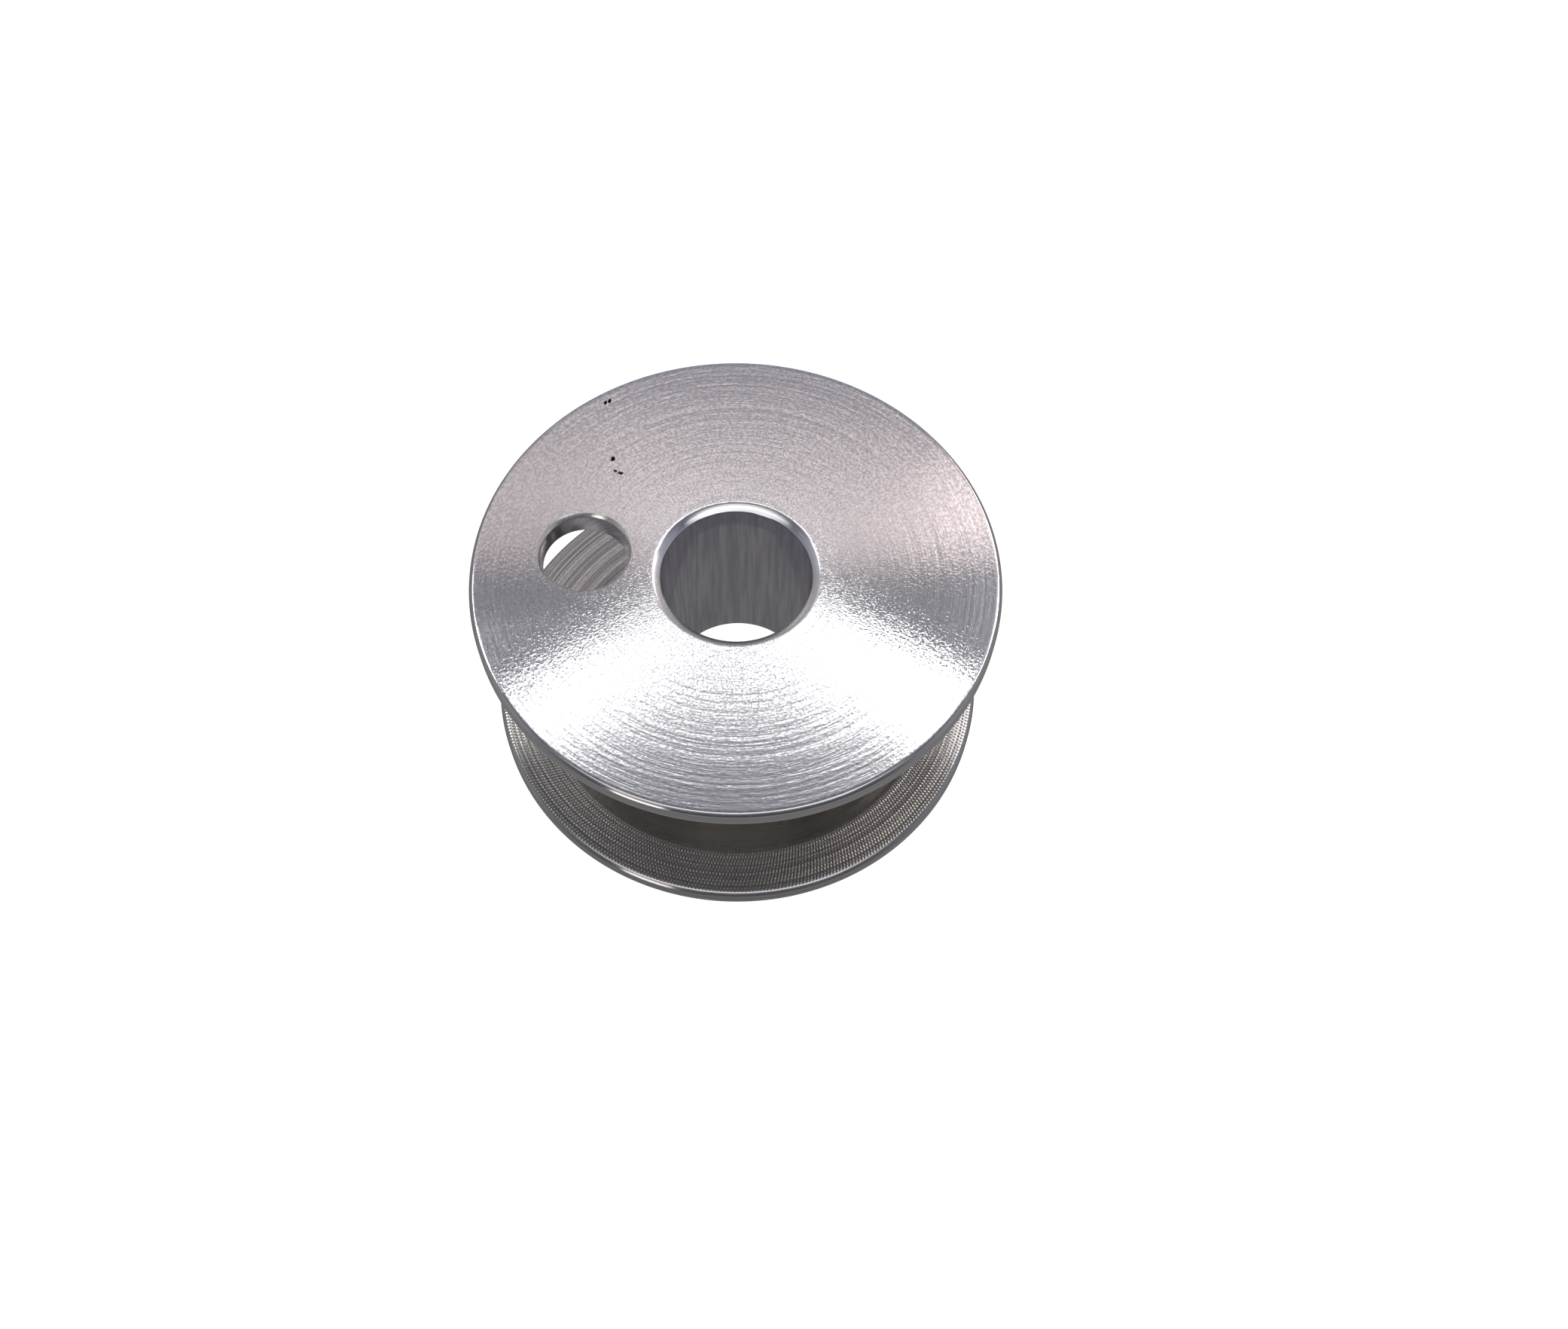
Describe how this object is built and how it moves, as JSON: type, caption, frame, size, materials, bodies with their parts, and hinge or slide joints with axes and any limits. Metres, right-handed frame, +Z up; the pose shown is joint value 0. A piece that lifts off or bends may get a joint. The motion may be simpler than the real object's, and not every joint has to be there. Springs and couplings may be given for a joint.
{
  "type": "sewing machine bobbin",
  "caption": "Flanged aluminium bobbin for a lockstitch sewing machine, turned from one piece, with a plain bore and a thread hole in the upper flange.",
  "frame": {"origin": "centre of the lower flange's outer face, on the bore's axis", "axes": "+Z up the bore from the lower flange to the upper flange; +X from the bore's axis to the thread hole in the upper flange"},
  "size_m": [0.021, 0.021, 0.009],
  "materials": {
    "aluminium": "as turned, with fine concentric tool marks"
  },
  "bodies": {
    "root": {"bobbin": "aluminium"}
  },
  "joints": []
}
